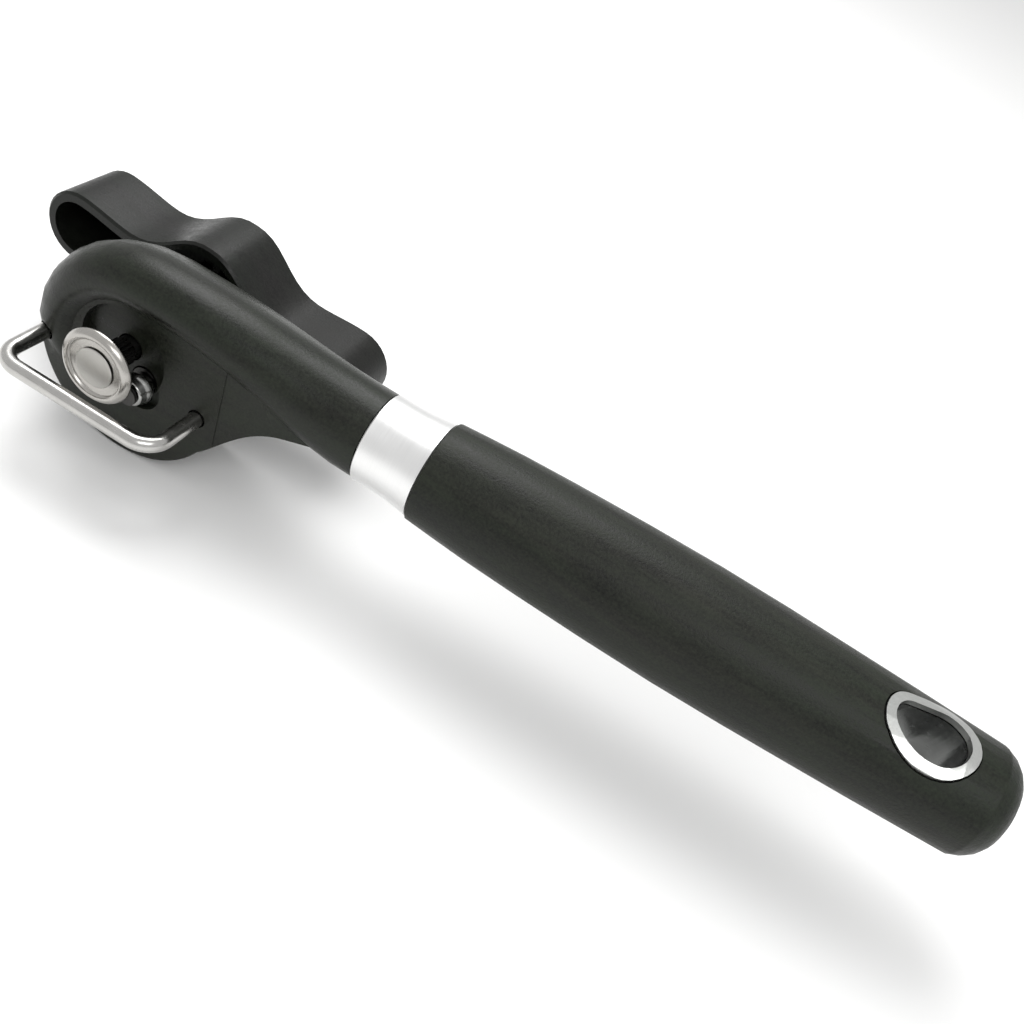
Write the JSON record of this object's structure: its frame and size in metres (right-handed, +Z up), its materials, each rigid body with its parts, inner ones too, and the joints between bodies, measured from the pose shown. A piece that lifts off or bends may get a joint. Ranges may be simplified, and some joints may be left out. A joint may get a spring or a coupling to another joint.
{
  "type": "manual can opener",
  "caption": "Long-handled side-cutting can opener: black head with a polished disc, small cutter and wire bail in front, a wing knob behind, and a round grip with a teardrop hanging hole.",
  "frame": {"origin": "middle of the underside of the bounding box", "axes": "+X along the handle from the head to its end, +Y along the knob's axle from the wheels to the knob, +Z up, square to both"},
  "size_m": [0.2106, 0.0512, 0.0419],
  "materials": {
    "black_plastic": "fine satin",
    "black_grip": "matt",
    "satin_metal": "satin",
    "chrome": "polished",
    "steel": "plain",
    "brass": "turned",
    "pale_plastic": "natural"
  },
  "bodies": {
    "head_and_handle": {"head_shell": "black_plastic", "back_cover": "black_plastic", "cover_screw_1": "steel", "cover_screw_2": "steel", "cover_screw_3": "steel", "bearing_plate": "brass", "rear_bush": "brass", "wire_bail": "chrome", "collar": "satin_metal", "tang": "steel", "tang_pin": "steel", "handle_grip": "black_grip", "eyelet_upper": "satin_metal", "eyelet_lower": "satin_metal", "eyelet_sleeve": "chrome"},
    "knob_drive": {"knob": "black_plastic", "knob_screw": "steel", "knob_cap": "black_plastic", "knob_washer": "pale_plastic", "drive_shaft": "steel", "guide_disc": "chrome", "axle_head": "satin_metal", "drive_wheel": "steel", "clutch_washer": "steel", "shaft_clip": "steel"},
    "clutch_gear": {"drive_gear": "brass"},
    "eccentric_spindle": {"cutter_spindle": "steel", "cutter_gear": "brass", "spindle_clip": "steel"},
    "cutter": {"cutter_wheel": "chrome"}
  },
  "joints": [
    {"name": "knob_turn", "type": "hinge", "parent": "head_and_handle", "child": "knob_drive", "pos_m": [-0.06879, 0.00708, 0.0226], "axis": [0, 1, 0], "continuous": true},
    {"name": "clutch_gear_swing", "type": "hinge", "parent": "head_and_handle", "child": "clutch_gear", "pos_m": [-0.06879, -0.00132, 0.0226], "axis": [0, 1, 0], "range_deg": [0, 80]},
    {"name": "spindle_swing", "type": "hinge", "parent": "head_and_handle", "child": "eccentric_spindle", "pos_m": [-0.06479, -0.00592, 0.01748], "axis": [0, 1, 0], "range_deg": [-95, 0]},
    {"name": "cutter_spin", "type": "hinge", "parent": "eccentric_spindle", "child": "cutter", "pos_m": [-0.0643, -0.01142, 0.01685], "axis": [0, 1, 0], "continuous": true}
  ],
  "couplings": [
    {"joint": "spindle_swing", "follows": "clutch_gear_swing", "ratio": -1.1667}
  ]
}
